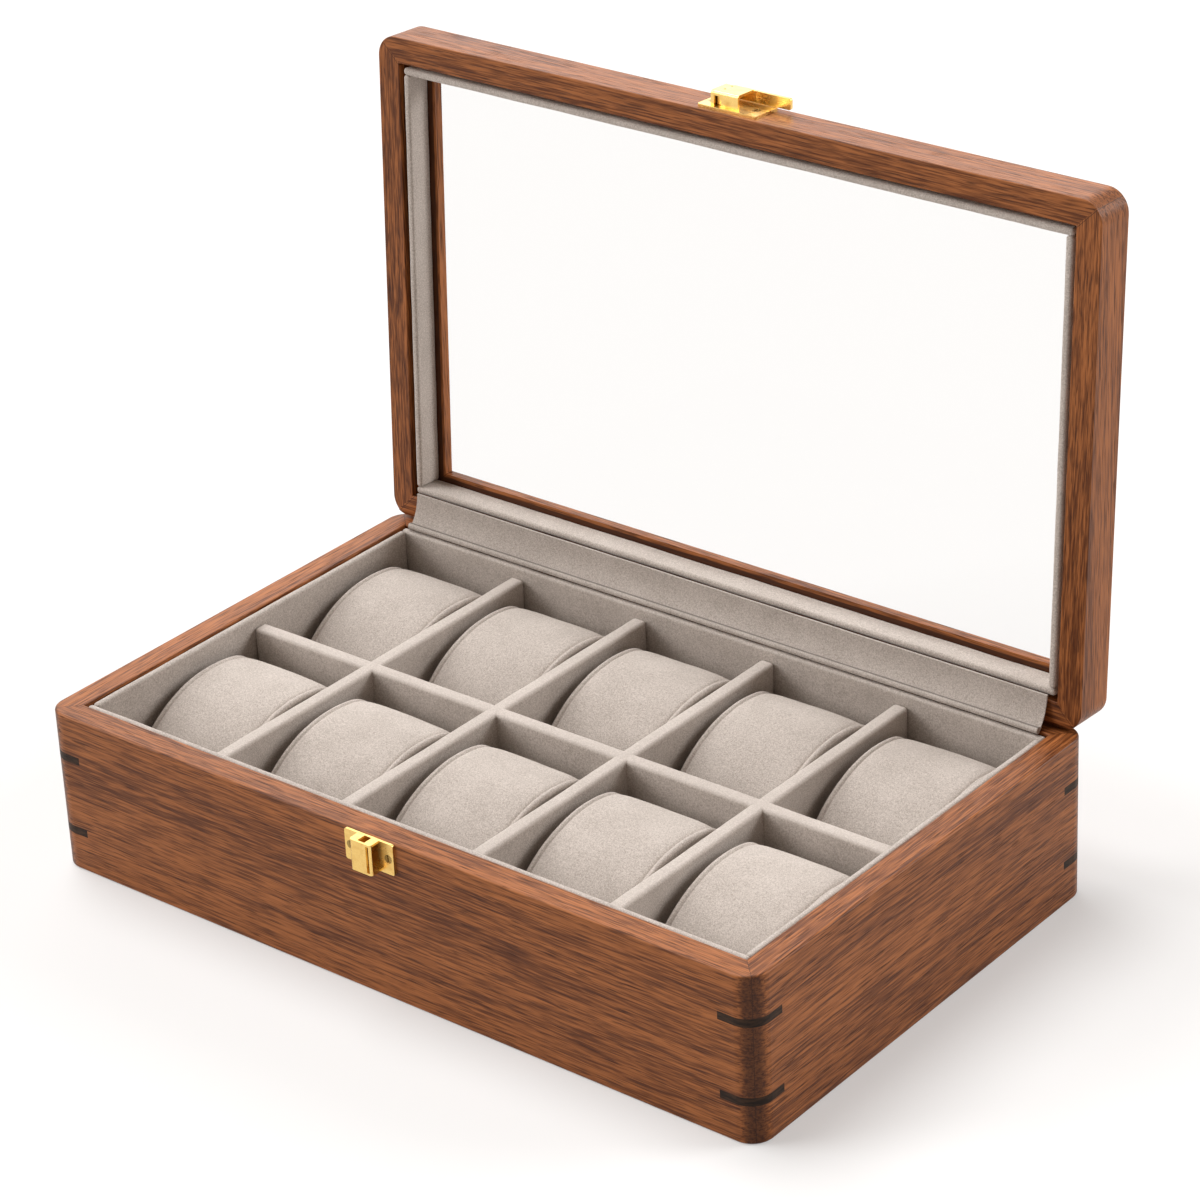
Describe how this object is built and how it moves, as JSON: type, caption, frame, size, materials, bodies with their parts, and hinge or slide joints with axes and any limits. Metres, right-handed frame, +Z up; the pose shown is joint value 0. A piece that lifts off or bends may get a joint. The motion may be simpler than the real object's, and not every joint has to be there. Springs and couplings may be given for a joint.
{
  "type": "watch box",
  "caption": "Wooden watch box with a glazed hinged lid standing open, suede pillows in divided compartments, keyed corners and a small brass latch",
  "frame": {"origin": "middle of the underside", "axes": "+X along the front to the right, +Y towards the hinges at the back, +Z up"},
  "size_m": [0.32, 0.225, 0.2679],
  "materials": {
    "walnut": "satin oiled walnut, grain along each board",
    "dark_wood": "dark hardwood keys, satin",
    "panel_wood": "plain board, hidden under the linings",
    "suede": "warm grey suede with a soft nap",
    "pillow_suede": "warm grey suede, padded and sewn",
    "felt": "dark felt",
    "brass": "polished brass",
    "glass": "clear glass"
  },
  "bodies": {
    "box": {"bottom_panel": "panel_wood", "corner_splines": "dark_wood", "cross_divider_1": "suede", "cross_divider_2": "suede", "cross_divider_3": "suede", "cross_divider_4": "suede", "front_wall": "walnut", "hinge_base_screws": "brass", "hinge_flap": "suede", "hinge_left_base_leaf": "brass", "hinge_left_pin": "brass", "hinge_right_base_leaf": "brass", "hinge_right_pin": "brass", "keeper_housing": "brass", "keeper_plate": "brass", "keeper_screws": "brass", "left_wall": "walnut", "lining_floor": "suede", "lining_front": "suede", "lining_left": "suede", "lining_rear": "suede", "lining_right": "suede", "long_divider": "suede", "rear_wall": "walnut", "right_wall": "walnut", "underside_felt": "felt"},
    "lid": {"glass_panel": "glass", "hinge_left_lid_leaf": "brass", "hinge_lid_screws": "brass", "hinge_right_lid_leaf": "brass", "latch_housing": "brass", "latch_plate": "brass", "latch_screws": "brass", "lid_front_rail": "walnut", "lid_left_rail": "walnut", "lid_rear_rail": "walnut", "lid_right_rail": "walnut", "lid_strip_front": "suede", "lid_strip_left": "suede", "lid_strip_rear": "suede", "lid_strip_right": "suede"},
    "latch_bolt": {"latch_bolt": "brass"},
    "pillow_front_1": {"pillow_front_1": "pillow_suede"},
    "pillow_front_2": {"pillow_front_2": "pillow_suede"},
    "pillow_front_3": {"pillow_front_3": "pillow_suede"},
    "pillow_front_4": {"pillow_front_4": "pillow_suede"},
    "pillow_front_5": {"pillow_front_5": "pillow_suede"},
    "pillow_rear_1": {"pillow_rear_1": "pillow_suede"},
    "pillow_rear_2": {"pillow_rear_2": "pillow_suede"},
    "pillow_rear_3": {"pillow_rear_3": "pillow_suede"},
    "pillow_rear_4": {"pillow_rear_4": "pillow_suede"},
    "pillow_rear_5": {"pillow_rear_5": "pillow_suede"}
  },
  "joints": [
    {"name": "lid_hinge", "type": "hinge", "parent": "box", "child": "lid", "pos_m": [0, 0.0959, 0.0674], "axis": [-1, 0, 0], "range_deg": [-93, 0], "deforming": ["hinge_flap"]},
    {"name": "latch_slide", "type": "slide", "parent": "lid", "child": "latch_bolt", "axis": [0, -0.9986, 0.0523], "range_m": [0, 0.0075]},
    {"name": "pillow_front_1_lift", "type": "slide", "parent": "box", "child": "pillow_front_1", "axis": [0, 0, 1], "range_m": [0, 0.055]},
    {"name": "pillow_front_2_lift", "type": "slide", "parent": "box", "child": "pillow_front_2", "axis": [0, 0, 1], "range_m": [0, 0.055]},
    {"name": "pillow_front_3_lift", "type": "slide", "parent": "box", "child": "pillow_front_3", "axis": [0, 0, 1], "range_m": [0, 0.055]},
    {"name": "pillow_front_4_lift", "type": "slide", "parent": "box", "child": "pillow_front_4", "axis": [0, 0, 1], "range_m": [0, 0.055]},
    {"name": "pillow_front_5_lift", "type": "slide", "parent": "box", "child": "pillow_front_5", "axis": [0, 0, 1], "range_m": [0, 0.055]},
    {"name": "pillow_rear_1_lift", "type": "slide", "parent": "box", "child": "pillow_rear_1", "axis": [0, 0, 1], "range_m": [0, 0.055]},
    {"name": "pillow_rear_2_lift", "type": "slide", "parent": "box", "child": "pillow_rear_2", "axis": [0, 0, 1], "range_m": [0, 0.055]},
    {"name": "pillow_rear_3_lift", "type": "slide", "parent": "box", "child": "pillow_rear_3", "axis": [0, 0, 1], "range_m": [0, 0.055]},
    {"name": "pillow_rear_4_lift", "type": "slide", "parent": "box", "child": "pillow_rear_4", "axis": [0, 0, 1], "range_m": [0, 0.055]},
    {"name": "pillow_rear_5_lift", "type": "slide", "parent": "box", "child": "pillow_rear_5", "axis": [0, 0, 1], "range_m": [0, 0.055]}
  ]
}
